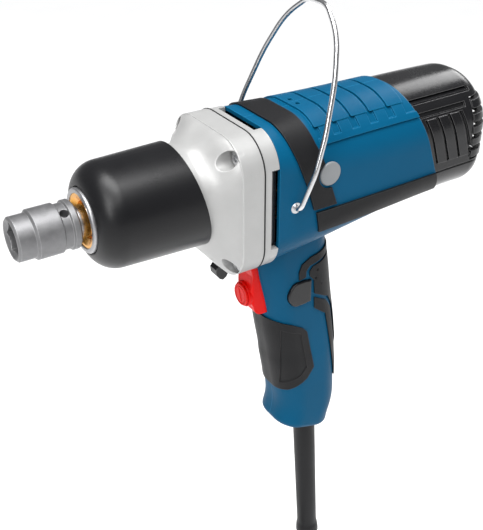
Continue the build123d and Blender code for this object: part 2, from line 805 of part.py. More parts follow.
with BuildPart() as shell:
    add(body_skin)
    split(bisect_by=CAP_PLANE, keep=Keep.BOTTOM)
    add(handle_skin)
    add(body_inside, mode=Mode.SUBTRACT)
    add(handle_inside, mode=Mode.SUBTRACT)
    with BuildSketch(station(112.5)):
        with Locations(*screw_spots):
            Circle(5.4)
    extrude(amount=11)
    with BuildSketch(Plane.XZ.offset(-26)):
        with Locations(*SHELL_SCREWS):
            Circle(4.2)
    extrude(amount=52)
    add(motor_body(0) + handle_body(0), mode=Mode.INTERSECT)
    for index in range(5):
        x = RIB_START_X + index * RIB_PITCH
        add(motor_layer(RIB_HEIGHT, -0.5, strip(x, x + RIB_PITCH - RIB_GROOVE, RIB_LOW_Z, 60)))
        add(motor_layer(TAB_HEIGHT, -0.5, strip(x + 3, x + 11.5, BAND_HIGH_Z - 0.5, RIB_LOW_Z + 1)))
    add(motor_layer(TAB_HEIGHT, -0.5, [
        (144.5, BAND_LOW_Z), (223, BAND_LOW_Z), (221.8, BAND_HIGH_Z), (144.5, BAND_HIGH_Z),
    ]))
    with BuildSketch(station(100)):
        with Locations(*screw_spots):
            Circle(2.45)
    extrude(amount=20.2, mode=Mode.SUBTRACT)
    with BuildSketch(Plane.XZ.offset(-30)):
        with Locations(*SHELL_SCREWS):
            Circle(1.75)
    extrude(amount=42, mode=Mode.SUBTRACT)
    with BuildSketch(Plane.XZ.offset(-30)):
        with Locations(*SHELL_SCREWS):
            Circle(3.4)
    extrude(amount=18, mode=Mode.SUBTRACT)
    add(slab((100, 126), (-9.6, 9.6), (-61.9, -55.0)), mode=Mode.SUBTRACT)
    trigger_slot = TRIGGER_HALF_W + 0.4
    add(slab((100, 130), (-trigger_slot, trigger_slot), (TRIGGER_BOTTOM_Z - 0.6, -61.0)), mode=Mode.SUBTRACT)
    for y in (-4, 4):
        add(slab((147, 150), (y - 1.6, y + 1.6), (30, 46)), mode=Mode.SUBTRACT)
    extrude(lock_outline(GAP), amount=30, mode=Mode.SUBTRACT)
    with BuildSketch(Plane.XZ.offset(-50)):
        with Locations((BAIL_X, BAIL_Z)):
            Circle(3.5)
    extrude(amount=100, mode=Mode.SUBTRACT)
    relief_axis = Plane(origin=RELIEF_TOP, z_dir=relief_down)
    with BuildSketch(relief_axis):
        Circle(8.7)
    extrude(amount=30, mode=Mode.SUBTRACT)

with BuildPart() as left_housing:
    add(shell.part)
    split(bisect_by=Plane.XZ, keep=Keep.TOP)
finish("left_housing", left_housing)

with BuildPart() as right_housing:
    add(shell.part)
    split(bisect_by=Plane.XZ, keep=Keep.BOTTOM)
finish("right_housing", right_housing)

with BuildPart() as housing_screws:
    for x, z in SHELL_SCREWS:
        with BuildSketch(Plane.XZ.offset(-14.2)):
            with Locations((x, z)):
                Circle(3.1)
        extrude(amount=2.2)
        with BuildSketch(Plane.XZ.offset(-12.1)):
            with Locations((x, z)):
                Circle(1.7)
        extrude(amount=22)
        with BuildSketch(Plane.XZ.offset(-14.2)):
            with Locations((x, z)):
                RegularPolygon(1.7, 6)
        extrude(amount=1.3, mode=Mode.SUBTRACT)
finish("housing_screws", housing_screws)

# ---------------------------------------------------------------- rear cap
def cap_body(grow):
    """Motor housing behind the cap joint, rounded at the rear, its surface moved out by grow."""
    with BuildPart() as body:
        add(motor_body(grow))
        add(slab((150, CAP_END_X + grow), (-60, 60), (-60, 60)), mode=Mode.INTERSECT)
        fillet(body.faces().sort_by(Axis.X)[-1].edges(), CAP_ROUND + grow)
    return body.part


def slanted(top_x, bottom_x, width):
    """Corners of a side pad or slot that leans with the cap joint."""
    return [
        (top_x, PAD_TOP_Z), (top_x + width, PAD_TOP_Z), (bottom_x + width, PAD_BOTTOM_Z),
        (bottom_x, PAD_BOTTOM_Z),
    ]


with BuildPart() as fins:
    add(cap_body(1.0))
    add(cap_body(-WALL), mode=Mode.SUBTRACT)
    with BuildPart(mode=Mode.PRIVATE) as fin_bands:
        for index in range(5):
            z = 24 - index * FIN_PITCH
            add(slab((FIN_X, 290), (-60, 60), (z - FIN_THICKNESS / 2, z + FIN_THICKNESS / 2)))
    add(fin_bands.part, mode=Mode.INTERSECT)

with BuildPart() as rear_cap:
    add(cap_body(0))
    add(cap_body(-WALL), mode=Mode.SUBTRACT)
    split(bisect_by=CAP_PLANE, keep=Keep.TOP)
    add(motor_layer(2, -1.7, strip(200, 272, 31.0, 33.6)), mode=Mode.SUBTRACT)
    add(motor_layer(2, -1.4, strip(200, 264, PAD_TOP_Z + 1.5, 26.6)), mode=Mode.SUBTRACT)
    add(motor_layer(2, -1.5, slanted(PAD_TOP_X - 1.5, PAD_BOTTOM_X - 1.5, 33)), mode=Mode.SUBTRACT)
    add(motor_layer(2, -0.9, strip(220, 276, -16.2, -14.8)), mode=Mode.SUBTRACT)
    add(slab((FIN_X, 300), (-60, 60), (-14, 28)), mode=Mode.SUBTRACT)
    add(fins.part)
    for index in range(3):
        top_x = PAD_TOP_X + index * PAD_PITCH
        bottom_x = PAD_BOTTOM_X + index * PAD_PITCH
        add(motor_layer(0.6, -WALL, slanted(top_x, bottom_x, PAD_WIDTH)))
        after = PAD_WIDTH + 0.4
        slot_outline = slanted(top_x + after, bottom_x + after, PAD_PITCH - PAD_WIDTH - 0.8)
        add(side_prism(slot_outline, -60, 60), mode=Mode.SUBTRACT)
finish("rear_cap", rear_cap)

# ---------------------------------------------------------------- rubber strap, strips and grips
with BuildPart() as shoulder_strap:
    add(motor_layer(1.4, 0, [
        (118, 60), (120, 38), (122.5, 28), (127, 15), (132.5, 2), (137.5, -13.5), (154.5, -13.5), (151, -4),
        (143.5, 18), (140, 28), (138, 39), (137, 60),
    ]))
    with BuildSketch(Plane.XZ.offset(-50)):
        with Locations((149, 7.5)):
            Circle(9.0)
    extrude(amount=100, mode=Mode.SUBTRACT)
finish("shoulder_strap", shoulder_strap)

STRIP_OUTLINE = [(139.5, -16), (237.4, -15.2), (242.8, -30), (142, -30)]
for name, y_from, y_to in (("side_strip_left", -60, 0), ("side_strip_right", 0, 60)):
    with BuildPart() as side_strip:
        add(motor_body(1.7))
        add(body_skin, mode=Mode.SUBTRACT)
        add(side_prism(STRIP_OUTLINE, y_from, y_to), mode=Mode.INTERSECT)
    finish(name, side_strip)

with BuildPart() as badge:
    with BuildSketch(Plane.XZ.offset(37.9)):
        with Locations((149, 7.5)):
            Circle(7.6)
    extrude(amount=1.7)
    chamfer(badge.faces().sort_by(Axis.Y)[0].edges(), 0.5)
    add(body_skin, mode=Mode.SUBTRACT)
finish("blank_badge", badge)

with BuildPart() as front_grip_pad:
    add(handle_layer(1.1, 0, [
        (105, -104), (124, -105), (138, -110), (147, -115.5), (150.5, -119.5), (157.5, -152), (152, -160),
        (139, -168), (130, -171), (121, -168), (105, -160),
    ]))
    add(handle_layer(1.6, 0.5, [(131, -113.5), (145.5, -119.5), (151.5, -150), (147, -156), (134.5, -163)]),
        mode=Mode.SUBTRACT)
finish("front_grip_pad", front_grip_pad)

with BuildPart() as rear_grip_pad:
    add(handle_layer(1.1, 0, [
        (200, -54), (166, -57), (151, -60), (144, -64), (142, -70), (142.5, -75.5), (147.5, -74.5),
        (147.5, -70), (150, -66.5), (166, -62.3), (200, -59),
    ]))
    add(handle_layer(1.1, 0, [
        (200, -61), (166, -64.6), (153, -68), (150.5, -71), (151, -75), (154.5, -79), (155.5, -90),
        (168, -97), (173.5, -106), (186, -165), (200, -165),
    ]))
    add(handle_layer(1.1, 0, [
        (155.5, -93), (166, -99), (171, -106.5), (183, -170), (179.5, -171), (166, -110), (156, -102),
    ]))
    for x, z in ((157, -71.5), (163, -70.5), (156, -77.5), (162, -77), (161, -83.5), (168, -75.5)):
        for hand in (-1, 1):
            with Locations((x, hand * 21.4, z)):
                Sphere(1.3, mode=Mode.SUBTRACT)
finish("rear_grip_pad", rear_grip_pad)

with BuildPart() as lock_button:
    extrude(lock_outline(0), amount=21.6)
    add(slab((100, 200), (-14.4, 30), (-200, 0)), mode=Mode.SUBTRACT)
    fillet(lock_button.faces().sort_by(Axis.Y)[0].edges(), 1.0)
finish("lock_on_button", lock_button)

# ---------------------------------------------------------------- switch, trigger, dial, lever
with BuildPart() as switch_body:
    add(slab((136.5, 164), (-8.6, 8.6), (-104, -63.4)))
    with BuildSketch(level(-63.5)):
        with Locations((LEVER_PIVOT_X + 2, 0)):
            RectangleRounded(12, 12, 5)
    extrude(amount=2.2)
    with Locations((LEVER_PIVOT_X, 0, -59)):
        Cylinder(2.6, 7)
    with BuildSketch(station(136.5, DIAL_Z)):
        Circle(3.1)
    extrude(amount=14, mode=Mode.SUBTRACT)
finish("switch_body", switch_body)

with BuildPart() as trigger:
    with BuildSketch(side(TRIGGER_HALF_W)):
        with BuildLine():
            Polyline(
                (TRIGGER_BACK_X, TRIGGER_TOP_Z), (TRIGGER_FRONT_X - 0.6, TRIGGER_TOP_Z),
                (TRIGGER_FRONT_X + 0.8, -70), (TRIGGER_FRONT_X, -77),
            )
            ThreePointArc((TRIGGER_FRONT_X, -77), (TRIGGER_FRONT_X - 0.6, -86), (TRIGGER_FRONT_X + 1.4, -94))
            ThreePointArc((TRIGGER_FRONT_X + 1.4, -94), (116.6, -98.8), (120.5, TRIGGER_BOTTOM_Z))
            Polyline(
                (120.5, TRIGGER_BOTTOM_Z), (TRIGGER_BACK_X, TRIGGER_BOTTOM_Z),
                (TRIGGER_BACK_X, TRIGGER_TOP_Z),
            )
        make_face()
    extrude(amount=2 * TRIGGER_HALF_W)
    with BuildSketch(level(TRIGGER_BOTTOM_Z - 5, TRIGGER_FRONT_X + 14)):
        RectangleRounded(29.4, 2 * TRIGGER_HALF_W, 2.6)
    extrude(amount=50, mode=Mode.INTERSECT)
    with BuildSketch(station(DIAL_X + 1.6, DIAL_Z)):
        Circle(TRIGGER_HALF_W)
    extrude(amount=6)
    fillet(trigger.faces().sort_by(Axis.X)[0].edges(), 0.8)
    with BuildSketch(station(DIAL_X, DIAL_Z)):
        Circle(DIAL_R + GAP)
    extrude(amount=5.6, mode=Mode.SUBTRACT)
    with BuildSketch(station(TRIGGER_BACK_X - 0.1, DIAL_Z)):
        Circle(2.8)
    extrude(amount=13)
finish("trigger", trigger)

with BuildPart() as speed_dial:
    with BuildSketch(station(DIAL_X, DIAL_Z)):
        Circle(DIAL_R)
        with PolarLocations(DIAL_R + 0.3, 24):
            Circle(0.55, mode=Mode.SUBTRACT)
    extrude(amount=5.3)
    chamfer(speed_dial.faces().sort_by(Axis.X)[0].outer_wire().edges(), 0.3)
    with BuildSketch(station(DIAL_X, DIAL_Z)):
        Rectangle(1.3, 9, rotation=-20)
        Circle(DIAL_R - 1.4)
        Circle(DIAL_R - 2.2, mode=Mode.SUBTRACT)
        Rectangle(1.3, 9, rotation=-20)
    extrude(amount=0.7, mode=Mode.SUBTRACT)
finish("speed_dial", speed_dial)

with BuildPart() as direction_lever:
    with BuildSketch(level(LEVER_Z - 2.3)):
        with BuildLine():
            Polyline(
                (LEVER_PIVOT_X, -6), (LEVER_TIP_X + 2, -3.4), (LEVER_TIP_X + 2, 3.4), (LEVER_PIVOT_X, 6),
                close=True,
            )
        make_face()
        with Locations((LEVER_PIVOT_X, 0)):
            Circle(6)
            Circle(2.6 + RUNNING, mode=Mode.SUBTRACT)
    extrude(amount=4.4)
    with BuildSketch(side(3.8)):
        with BuildLine():
            Polyline(
                (LEVER_TIP_X + 5.2, LEVER_Z + 2.1), (LEVER_TIP_X + 4.8, LEVER_Z - 3.4),
                (LEVER_TIP_X + 3.2, LEVER_Z - 6.8), (LEVER_TIP_X + 0.6, LEVER_Z - 8.5),
                (LEVER_TIP_X - 1.8, LEVER_Z - 7.2), (LEVER_TIP_X - 4.0, LEVER_Z - 4.2),
                (LEVER_TIP_X - 4.4, LEVER_Z - 0.2), (LEVER_TIP_X - 2.6, LEVER_Z + 2.1), close=True,
            )
        make_face()
    extrude(amount=7.6)
finish("direction_lever", direction_lever)

with BuildPart() as capacitor:
    with BuildSketch(level(-138)):
        with Locations((154.6, 0)):
            RectangleRounded(22, 13, 2)
    extrude(amount=27)
finish("suppression_capacitor", capacitor)

with BuildPart() as cord_clamp:
    with BuildSketch(level(-182)):
        with Locations((163.2, 0)):
            RectangleRounded(14, 30, 4)
            Circle(4.2, mode=Mode.SUBTRACT)
    extrude(amount=6)
finish("cord_clamp", cord_clamp)

# ---------------------------------------------------------------- bail
bail_plane = Plane(
    origin=(BAIL_X, 0, BAIL_Z), x_dir=(0, 1, 0),
    z_dir=(cos(radians(BAIL_LEAN)), 0, -sin(radians(BAIL_LEAN))),
)
bail_half = [(35.0, 0), (42.8, 0), (45.6, 24), (43.6, 46), (36.8, 76), (26, 101), (9, BAIL_HEIGHT)]
bail_radii = [4.0, 40.0, 60.0, 90.0, 45.0, 16.0]
with BuildPart() as bail:
    with BuildLine(bail_plane) as bail_line:
        FilletPolyline(
            *[(-across, up) for across, up in bail_half], *reversed(bail_half),
            radius=bail_radii + bail_radii[::-1],
        )
    with BuildSketch(Plane(origin=bail_line.line @ 0, z_dir=bail_line.line % 0)):
        Circle(BAIL_WIRE_R)
    sweep()
finish("suspension_bail", bail)

with BuildPart() as bail_bushes:
    for hand in (-1, 1):
        with BuildSketch(Plane.XZ.offset(-hand * 35.6)):
            with Locations((BAIL_X, BAIL_Z)):
                Circle(3.5)
                Circle(BAIL_WIRE_R + 0.06, mode=Mode.SUBTRACT)
        extrude(amount=-hand * 3.4)
finish("bail_bushes", bail_bushes)

# ---------------------------------------------------------------- mains lead
relief_end = RELIEF_TOP + relief_down * RELIEF_LENGTH
with BuildPart() as strain_relief:
    for start, length, radius, end_radius in (
        (0, 4.4, 10.6, 10.6), (4.3, 141, 8.5, 7.9), (145, RELIEF_LENGTH - 145, 8.6, 9.4),
    ):
        base = Plane(origin=RELIEF_TOP + relief_down * start, z_dir=relief_down)
        with BuildSketch(base):
            Circle(radius)
        with BuildSketch(base.offset(length)):
            Circle(end_radius)
        loft()
finish("strain_relief", strain_relief)

COIL_X = relief_end.X + 3.6 - COIL_MEAN_R
lead_points = [
    (relief_end.X, 0, relief_end.Z),
    (relief_end.X + 2.9, 0, relief_end.Z - 44),
    (COIL_X + COIL_MEAN_R, 0, COIL_Z + 20),
]
tail_points = [
    (COIL_X + COIL_MEAN_R, -8, COIL_Z - 22),
    (COIL_X + COIL_MEAN_R + 0.5, -9.5, COIL_Z - 58),
    (COIL_X + COIL_MEAN_R + 5, -11, COIL_Z - 96),
    (COIL_X + COIL_MEAN_R + 4, -11, COIL_Z - 134),
]


def cord_tube(points):
    """Round cord along straight runs joined by arcs as large as the runs allow."""
    spots = [Vector(*point) for point in points]
    runs = [b - a for a, b in zip(spots, spots[1:])]
    turns = [a.get_angle(b) for a, b in zip(runs, runs[1:])]
    radii = [
        0.45 * min(a.length, b.length) / tan(radians(turn / 2)) for a, b, turn in zip(runs, runs[1:], turns)
    ]
    print("cord radii", [round(r) for r in radii], "length", round(sum(r.length for r in runs), 1))
    with BuildPart() as tube:
        with BuildLine() as route:
            FilletPolyline(*points, radius=radii)
        with BuildSketch(Plane(origin=route.line @ 0, z_dir=route.line % 0)):
            Circle(CORD_D / 2)
        sweep()
    length = sum(edge.length for edge in route.line.edges())
    print("volume over section times length", tube.part.volume / (pi * CORD_D**2 / 4 * length))
    return tube


finish("cord_lead", cord_tube(lead_points))
finish("cord_tail", cord_tube(tail_points))

with BuildPart() as cord_coil:
    with BuildSketch(Plane.XY.offset(COIL_Z)):
        with Locations((COIL_X + COIL_MEAN_R, 0)):
            Circle(COIL_BUNDLE_R)
    revolve(axis=Axis((COIL_X, 0, COIL_Z), (0, 1, 0)))
finish("cord_coil", cord_coil)

with BuildPart() as cord_tie:
    with BuildSketch(Plane(origin=(COIL_X - 7, 0, COIL_Z + COIL_MEAN_R), x_dir=(0, 1, 0), z_dir=(1, 0, 0))):
        Circle(COIL_BUNDLE_R + 1.9)
        Circle(COIL_BUNDLE_R + 0.7, mode=Mode.SUBTRACT)
    extrude(amount=14)
finish("cord_tie", cord_tie)

# ---------------------------------------------------------------- two-pin plug, pins down
plug_top = Vector(*tail_points[-1])
PLUG_SECTIONS = [
    (0, 11, 11, 5.4),
    (18, 13.5, 13, 6.4),
    (22, 24, 18, 8.5),
    (34, 34, 22, 10.5),
    (58, 35.4, 26, 12.8),
]
with BuildPart() as plug_body:
    for (low, *start), (high, *end) in zip(PLUG_SECTIONS, PLUG_SECTIONS[1:]):
        for drop, (width, depth, corner) in ((low, start), (high, end)):
            across = Plane(origin=plug_top - Vector(0, 0, drop), x_dir=(1, 0, 0), z_dir=(0, 0, -1))
            with BuildSketch(across):
                RectangleRounded(width, depth, corner)
        loft(ruled=True)
finish("plug_body", plug_body)

with BuildPart() as plug_pins:
    for offset_x in (-9.5, 9.5):
        across = Plane(origin=plug_top + Vector(offset_x, 0, -58), x_dir=(1, 0, 0), z_dir=(0, 0, -1))
        with BuildSketch(across):
            Circle(2.4)
        extrude(amount=19)
    fillet(plug_pins.faces().sort_by(Axis.Z)[:2].edges(), 1.4)
finish("plug_pins", plug_pins)

for name, volume in pieces:
    print(f"{name:24s} {volume:12.1f}")
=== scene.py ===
import math
import bmesh
import bpy
from mathutils import Matrix, Vector


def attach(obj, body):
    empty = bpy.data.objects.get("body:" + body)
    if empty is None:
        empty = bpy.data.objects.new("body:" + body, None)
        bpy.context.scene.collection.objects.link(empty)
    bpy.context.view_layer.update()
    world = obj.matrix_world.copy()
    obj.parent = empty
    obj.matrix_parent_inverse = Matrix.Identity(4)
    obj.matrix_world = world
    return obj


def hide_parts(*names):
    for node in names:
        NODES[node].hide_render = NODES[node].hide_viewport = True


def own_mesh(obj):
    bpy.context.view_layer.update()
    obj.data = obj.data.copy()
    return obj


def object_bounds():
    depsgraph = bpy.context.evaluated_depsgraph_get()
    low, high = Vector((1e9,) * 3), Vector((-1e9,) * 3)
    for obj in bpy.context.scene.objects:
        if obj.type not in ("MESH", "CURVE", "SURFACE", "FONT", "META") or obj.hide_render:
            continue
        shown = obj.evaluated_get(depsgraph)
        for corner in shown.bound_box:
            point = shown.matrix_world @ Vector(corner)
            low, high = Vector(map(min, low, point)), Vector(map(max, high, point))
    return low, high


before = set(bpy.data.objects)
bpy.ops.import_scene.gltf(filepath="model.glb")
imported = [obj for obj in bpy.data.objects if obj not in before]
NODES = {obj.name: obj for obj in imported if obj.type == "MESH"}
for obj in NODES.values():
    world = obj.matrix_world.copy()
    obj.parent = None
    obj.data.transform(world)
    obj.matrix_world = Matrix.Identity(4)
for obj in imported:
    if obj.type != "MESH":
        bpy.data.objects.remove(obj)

# A corded impact wrench. Lengths are in mm from the shoulder of the square drive, with +X
# running back along the tool, and at() turns them into the frame's metres.

CAD_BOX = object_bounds()
MM = 0.001
GRIP_X = 155.0              # the frame's origin is the middle of the grip
GRIP_Z = -140.0

# places and sizes that several pieces share
CORD_D = 7.6
COIL_X, COIL_Z, COIL_R = 131.906, -446.0, 46.0
SLEEVE_TOP = (164.1, 0, -190)
SLEEVE_LEAN = math.radians(3.8)
PLUG_TOP = (181.906, -11, -580)


def at(x, y, z):
    """A point given in mm from the drive shoulder, in the frame's metres."""
    return Vector(((x - GRIP_X) * MM, y * MM, (z - GRIP_Z) * MM))


def placed(name, data):
    """A new object of that data, in the scene."""
    made = bpy.data.objects.new(name, data)
    bpy.context.scene.collection.objects.link(made)
    return made


# ---------------------------------------------------------------- camera
AZIMUTH, ELEVATION, ROLL = -32.137, 31.163, -0.269
CAMERA_PLACE = (-156.12, -424.32, 239.59)
SENSOR_MM, LENS_MM = 36.0, 61.18
NEAREST, FARTHEST = 0.02, 60.0          # what the camera sees, in metres from it

cam_data = bpy.data.cameras.new("camera")
cam_data.sensor_width = SENSOR_MM
cam_data.lens = LENS_MM
cam_data.clip_start = NEAREST
cam_data.clip_end = FARTHEST
camera = placed("camera", cam_data)
pan = Matrix.Rotation(math.radians(AZIMUTH), 4, "Z")
tilt = Matrix.Rotation(math.radians(90 - ELEVATION), 4, "X")
roll = Matrix.Rotation(math.radians(ROLL), 4, "Z")
camera.matrix_world = Matrix.Translation(at(*CAMERA_PLACE)) @ pan @ tilt @ roll
bpy.context.scene.camera = camera
bpy.context.scene.view_settings.view_transform = "Standard"


# ---------------------------------------------------------------- materials
MOTTLE_DETAIL, GRAIN_DETAIL = 5.0, 3.0
GRAIN_HEIGHT = 0.3 * MM
NOISE_LOW, NOISE_HIGH = 0.6, 1.4        # usual range of the two noises added up
LEAST_ROUGH = 0.02
EDGE_SAMPLES = 6
# where the edge colour starts and where it is full: a painted highlight along the edges, partly wear
EDGE_UNMARKED, EDGE_FULLY_HIGHLIT_AND_WORN = 0.995, 0.90    # cosine between the softened and the flat normal


def surface(name, dark, light, rough, metallic=0.0, mottle=60.0, grain=1500.0, depth=0.1,
            stretch=(1, 1, 1), rough_spread=0.08, edge=None, edge_r=0.0, edge_amount=0.6,
            specular=0.5, sheen=0.0):
    """A procedural finish: two close colours mottled together, grain in the bump and the
    roughness, and, with edge_r in mm, softened edges that take the edge colour as painted highlight
    and wear."""
    made = bpy.data.materials.new(name)
    made.use_nodes = True
    tree = made.node_tree
    new, link = tree.nodes.new, tree.links.new
    shader = tree.nodes["Principled BSDF"]
    shader.inputs["Metallic"].default_value = metallic
    shader.inputs["Specular IOR Level"].default_value = specular
    shader.inputs["Sheen Weight"].default_value = sheen
    place = new("ShaderNodeTexCoord").outputs["Object"]

    blotch = new("ShaderNodeTexNoise")
    blotch.inputs["Scale"].default_value = mottle
    blotch.inputs["Detail"].default_value = MOTTLE_DETAIL
    link(place, blotch.inputs["Vector"])
    colour = new("ShaderNodeMix")
    colour.data_type = "RGBA"
    colour.inputs["A"].default_value = (*dark, 1)
    colour.inputs["B"].default_value = (*light, 1)
    link(blotch.outputs["Fac"], colour.inputs["Factor"])
    base = colour.outputs["Result"]

    stretched = new("ShaderNodeMapping")
    stretched.inputs["Scale"].default_value = stretch
    link(place, stretched.inputs["Vector"])
    fine = new("ShaderNodeTexNoise")
    fine.inputs["Scale"].default_value = grain
    fine.inputs["Detail"].default_value = GRAIN_DETAIL
    link(stretched.outputs["Vector"], fine.inputs["Vector"])
    both = new("ShaderNodeMath")
    both.operation = "ADD"
    link(fine.outputs["Fac"], both.inputs[0])
    link(blotch.outputs["Fac"], both.inputs[1])
    gloss = new("ShaderNodeMapRange")
    gloss.inputs["From Min"].default_value = NOISE_LOW
    gloss.inputs["From Max"].default_value = NOISE_HIGH
    gloss.inputs["To Min"].default_value = max(LEAST_ROUGH, rough - rough_spread)
    gloss.inputs["To Max"].default_value = min(1.0, rough + rough_spread)
    link(both.outputs["Value"], gloss.inputs["Value"])
    link(gloss.outputs["Result"], shader.inputs["Roughness"])
    bump = new("ShaderNodeBump")
    bump.inputs["Strength"].default_value = depth
    bump.inputs["Distance"].default_value = GRAIN_HEIGHT
    link(fine.outputs["Fac"], bump.inputs["Height"])

    if edge_r:
        round_edge = new("ShaderNodeBevel")
        round_edge.samples = EDGE_SAMPLES
        round_edge.inputs["Radius"].default_value = edge_r * MM
        link(round_edge.outputs["Normal"], bump.inputs["Normal"])
        if edge:
            # the edge colour mixed in near the softened edges: painted highlight, partly wear
            facing = new("ShaderNodeVectorMath")
            facing.operation = "DOT_PRODUCT"
            link(round_edge.outputs["Normal"], facing.inputs[0])
            link(new("ShaderNodeNewGeometry").outputs["Normal"], facing.inputs[1])
            highlight_and_wear_mask = new("ShaderNodeMapRange")
            highlight_and_wear_mask.inputs["From Min"].default_value = EDGE_UNMARKED
            highlight_and_wear_mask.inputs["From Max"].default_value = EDGE_FULLY_HIGHLIT_AND_WORN
            highlight_and_wear_mask.inputs["To Max"].default_value = edge_amount
            link(facing.outputs["Value"], highlight_and_wear_mask.inputs["Value"])
            highlit_and_worn = new("ShaderNodeMix")
            highlit_and_worn.data_type = "RGBA"
            highlit_and_worn.inputs["B"].default_value = (*edge, 1)
            link(highlight_and_wear_mask.outputs["Result"], highlit_and_worn.inputs["Factor"])
            link(base, highlit_and_worn.inputs["A"])
            base = highlit_and_worn.outputs["Result"]
    link(base, shader.inputs["Base Color"])
    link(bump.outputs["Normal"], shader.inputs["Normal"])
    return made


# each edge= colour below is a painted highlight along the softened edges, partly wear; the light blue
# edge of moulded_blue is painted highlight
BLUE = surface("moulded_blue", (0.0006, 0.070, 0.150), (0.0011, 0.086, 0.182), 0.42,
               grain=2600, depth=0.16, mottle=25, edge=(0.016, 0.22, 0.42), edge_r=0.7,
               edge_amount=0.6, specular=0.08)
RUBBER = surface("moulded_rubber", (0.006, 0.006, 0.007), (0.012, 0.012, 0.013), 0.46,
                 grain=3200, depth=0.3, mottle=45, edge=(0.09, 0.09, 0.09), edge_r=0.5,
                 edge_amount=0.45, specular=0.17)
BOOT = surface("boot_rubber", (0.004, 0.004, 0.005), (0.008, 0.008, 0.009), 0.33,
               grain=2400, depth=0.12, mottle=30, edge_r=0.7, specular=0.32)
BLACK = surface("cap_plastic", (0.005, 0.005, 0.006), (0.009, 0.009, 0.010), 0.23,
                grain=2600, depth=0.10, mottle=40, edge=(0.17, 0.17, 0.17), edge_r=0.6,
                edge_amount=0.5, specular=0.42)
CAST = surface("cast_case", (0.395, 0.395, 0.39), (0.46, 0.46, 0.455), 0.40, metallic=0.3,
               grain=1100, depth=0.22, mottle=90, edge=(0.72, 0.72, 0.71), edge_r=1.0,
               edge_amount=0.5)
SOCKET = surface("socket_steel", (0.17, 0.17, 0.175), (0.27, 0.27, 0.275), 0.48, metallic=0.75,
                 grain=900, depth=0.3, mottle=260, stretch=(2, 1, 1), edge=(0.62, 0.62, 0.62),
                 edge_r=0.5, edge_amount=0.5)
POLISHED = surface("polished_steel", (0.62, 0.62, 0.63), (0.78, 0.78, 0.79), 0.16, metallic=1.0,
                   grain=900, depth=0.04, mottle=120, edge_r=0.3)
SATIN = surface("satin_ring", (0.34, 0.34, 0.35), (0.46, 0.46, 0.47), 0.42, metallic=0.9,
                grain=900, depth=0.12, mottle=150, stretch=(6, 1, 1), edge=(0.8, 0.8, 0.8),
                edge_r=0.4)
GROUND = surface("ground_steel", (0.42, 0.42, 0.43), (0.58, 0.58, 0.59), 0.32, metallic=1.0,
                 grain=600, depth=0.1, mottle=200, stretch=(1, 6, 6))
WIRE = surface("bail_wire", (0.60, 0.60, 0.61), (0.74, 0.74, 0.75), 0.22, metallic=1.0,
               grain=1500, depth=0.05, mottle=300)
SPRING = surface("spring_steel", (0.16, 0.16, 0.18), (0.28, 0.28, 0.30), 0.34, metallic=0.9,
                 mottle=400)
ZINC = surface("zinc_plate", (0.50, 0.51, 0.53), (0.70, 0.70, 0.70), 0.30, metallic=1.0,
               grain=900, depth=0.08, mottle=700, edge_r=0.25)
LAMINATED = surface("laminations", (0.24, 0.24, 0.26), (0.36, 0.36, 0.38), 0.45, metallic=0.8,
                    grain=900, depth=0.5, stretch=(3, 0.05, 0.05))
COPPER = surface("enamelled_copper", (0.55, 0.22, 0.08), (0.78, 0.38, 0.18), 0.30, metallic=0.9,
                 grain=700, depth=0.4, stretch=(0.4, 3, 3))
BRONZE = surface("turned_bronze", (0.62, 0.27, 0.035), (0.86, 0.45, 0.09), 0.24, metallic=0.95,
                 grain=500, depth=0.15, stretch=(6, 1, 1), edge_r=0.3)
BRASS = surface("pressed_brass", (0.62, 0.46, 0.18), (0.80, 0.64, 0.30), 0.28, metallic=1.0,
                mottle=300)
CARBON = surface("carbon", (0.012, 0.012, 0.012), (0.03, 0.03, 0.032), 0.6, grain=2500, depth=0.4)
RED = surface("trigger_red", (0.68, 0.002, 0.0015), (0.80, 0.004, 0.002), 0.30, grain=1800,
              depth=0.04, mottle=60, edge=(0.9, 0.10, 0.06), edge_r=0.5, edge_amount=0.3,
              specular=0.14)
GREY = surface("grey_plastic", (0.20, 0.21, 0.22), (0.28, 0.29, 0.30), 0.4, grain=2200,
               depth=0.12, edge_r=0.3)
JACKET = surface("cord_jacket", (0.009, 0.009, 0.010), (0.016, 0.016, 0.017), 0.42, grain=1800,
                 depth=0.2, mottle=120, specular=0.26)
WEBBING = surface("woven_tie", (0.010, 0.010, 0.011), (0.03, 0.03, 0.032), 0.85, grain=3000,
                  depth=0.8, mottle=2200, specular=0.2, sheen=0.3)
PAPER = surface("floor_paper", (0.93, 0.93, 0.93), (0.96, 0.96, 0.96), 0.9, depth=0.02,
                mottle=6, specular=0.1)

FINISHES = {
    BLUE: ["left_housing", "right_housing"],
    RUBBER: ["shoulder_strap", "side_strip_left", "side_strip_right", "front_grip_pad",
             "rear_grip_pad", "strain_relief", "plug_body", "cord_tie"],
    BOOT: ["nose_boot"],
    BLACK: ["rear_cap", "lock_on_button", "direction_lever", "switch_body", "air_guide",
            "bearing_bracket", "cooling_fan", "cord_clamp"],
    CAST: ["hammer_case", "gear_cover"],
    SOCKET: ["impact_socket"],
    SATIN: ["nose_ring"],
    POLISHED: ["anvil", "front_bearing", "rear_bearing", "planet_pins", "cam_balls", "plug_pins"],
    GROUND: ["ring_gear", "planet_gear_1", "planet_gear_2", "planet_gear_3", "camshaft_carrier",
             "hammer", "spring_washer", "armature_shaft"],
    WIRE: ["suspension_bail"],
    SPRING: ["hammer_spring", "socket_pin"],
    ZINC: ["case_screws", "housing_screws", "bail_bushes"],
    LAMINATED: ["stator_core", "armature_core"],
    COPPER: ["armature_windings", "field_coils", "commutator"],
    BRONZE: ["bronze_bush"],
    BRASS: ["brush_holders"],
    CARBON: ["carbon_brushes"],
    RED: ["trigger", "speed_dial"],
    GREY: ["suppression_capacitor", "blank_badge"],
    JACKET: ["cord_lead", "cord_tail", "cord_coil"],
}
for finish, names in FINISHES.items():
    for name in names:
        for slot in NODES[name].material_slots:
            slot.material = finish


